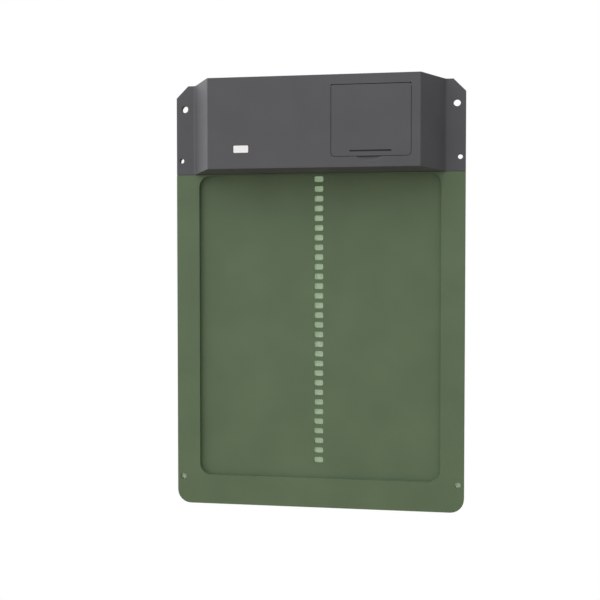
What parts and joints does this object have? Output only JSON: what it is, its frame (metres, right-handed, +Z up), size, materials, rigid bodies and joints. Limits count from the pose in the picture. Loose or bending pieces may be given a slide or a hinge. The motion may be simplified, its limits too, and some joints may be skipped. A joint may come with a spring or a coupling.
{
  "type": "automatic poultry house door",
  "caption": "Battery-driven sliding door for a poultry house: grey drive housing with battery lid and light sensor on a green frame, and a panel raised by rack and pinion.",
  "frame": {"origin": "on the wall plane, midway between the two upper screw holes", "axes": "+X to the viewer's right, +Y into the wall, +Z up; the front faces -Y"},
  "size_m": [0.3, 0.0489, 0.4398],
  "materials": {
    "green_plastic": "satin moulded",
    "pale_green_foam": "matte foam",
    "grey_plastic": "satin moulded",
    "dark_plastic": "satin",
    "white_lens": "frosted",
    "steel": "plain",
    "brass": "plain",
    "natural_plastic": "natural acetal",
    "board_green": "solder mask",
    "cell_wrap": "printed film, plain",
    "rubber": "matte",
    "wire_red": "PVC"
  },
  "bodies": {
    "root": {"aa_cell_1": "cell_wrap", "aa_cell_2": "cell_wrap", "aa_cell_3": "cell_wrap", "aa_cell_4": "cell_wrap", "battery_connector": "natural_plastic", "battery_lead": "wire_red", "battery_tray": "dark_plastic", "bottom_rail": "green_plastic", "close_switch": "dark_plastic", "contact_spring_1": "steel", "contact_spring_2": "steel", "contact_spring_3": "steel", "contact_spring_4": "steel", "control_board": "board_green", "control_panel": "grey_plastic", "frame_plate": "green_plastic", "front_housing": "grey_plastic", "gearbox_case": "dark_plastic", "gearbox_cover": "dark_plastic", "hole_seal_left": "pale_green_foam", "hole_seal_right": "pale_green_foam", "housing_screw_1": "steel", "housing_screw_2": "steel", "housing_screw_3": "steel", "housing_screw_4": "steel", "housing_screw_5": "steel", "intermediate_axle": "steel", "lid_hinge_pin": "steel", "light_sensor": "white_lens", "microcontroller": "dark_plastic", "motor_can": "steel", "motor_connector": "natural_plastic", "motor_driver": "dark_plastic", "motor_end_cap": "dark_plastic", "motor_lead": "wire_red", "open_switch": "dark_plastic", "output_bush_1": "brass", "output_bush_2": "brass", "output_bush_3": "brass", "power_capacitor": "cell_wrap", "rear_bridge": "green_plastic", "sensor_window": "white_lens", "side_rail_left": "green_plastic", "side_rail_right": "green_plastic", "status_led": "white_lens", "switch_board": "board_green"},
    "output_drive": {"output_shaft": "steel", "output_gear": "natural_plastic", "rack_pinion": "natural_plastic"},
    "compound_gear": {"compound_gear": "natural_plastic"},
    "worm_shaft": {"worm": "brass", "motor_shaft": "steel"},
    "door": {"door_panel": "green_plastic", "rack_backing": "pale_green_foam"},
    "lid": {"battery_lid": "grey_plastic", "lid_seal": "rubber"},
    "open_button": {"open_button": "natural_plastic"},
    "close_button": {"close_button": "natural_plastic"}
  },
  "joints": [
    {"name": "door_slide", "type": "slide", "parent": "root", "child": "door", "axis": [0, 0, 1], "range_m": [0, 0.31]},
    {"name": "output_spin", "type": "hinge", "parent": "root", "child": "output_drive", "pos_m": [0, -0.0239, -0.03399], "axis": [1, 0, 0], "range_deg": [0, 925.59]},
    {"name": "compound_spin", "type": "hinge", "parent": "root", "child": "compound_gear", "pos_m": [-0.028, -0.0204, -0.01531], "axis": [1, 0, 0], "range_deg": [-2590.75, 0]},
    {"name": "worm_spin", "type": "hinge", "parent": "root", "child": "worm_shaft", "pos_m": [-0.028, -0.0349, -0.01531], "axis": [0, 0, 1], "range_deg": [-77707.9, 0]},
    {"name": "lid_hinge", "type": "hinge", "parent": "root", "child": "lid", "pos_m": [0, -0.0474, 0.0132], "axis": [-1, 0, 0], "range_deg": [0, 95]},
    {"name": "open_press", "type": "slide", "parent": "root", "child": "open_button", "axis": [0, 1, 0], "range_m": [0, 0.001], "stiffness_N_per_m": 600, "springref_m": -0.001},
    {"name": "close_press", "type": "slide", "parent": "root", "child": "close_button", "axis": [0, 1, 0], "range_m": [0, 0.001], "stiffness_N_per_m": 600, "springref_m": -0.001}
  ],
  "couplings": [
    {"joint": "output_spin", "follows": "door_slide", "rad_per_m": 52.083},
    {"joint": "compound_spin", "follows": "door_slide", "rad_per_m": -145.83},
    {"joint": "worm_spin", "follows": "door_slide", "rad_per_m": -4375}
  ]
}
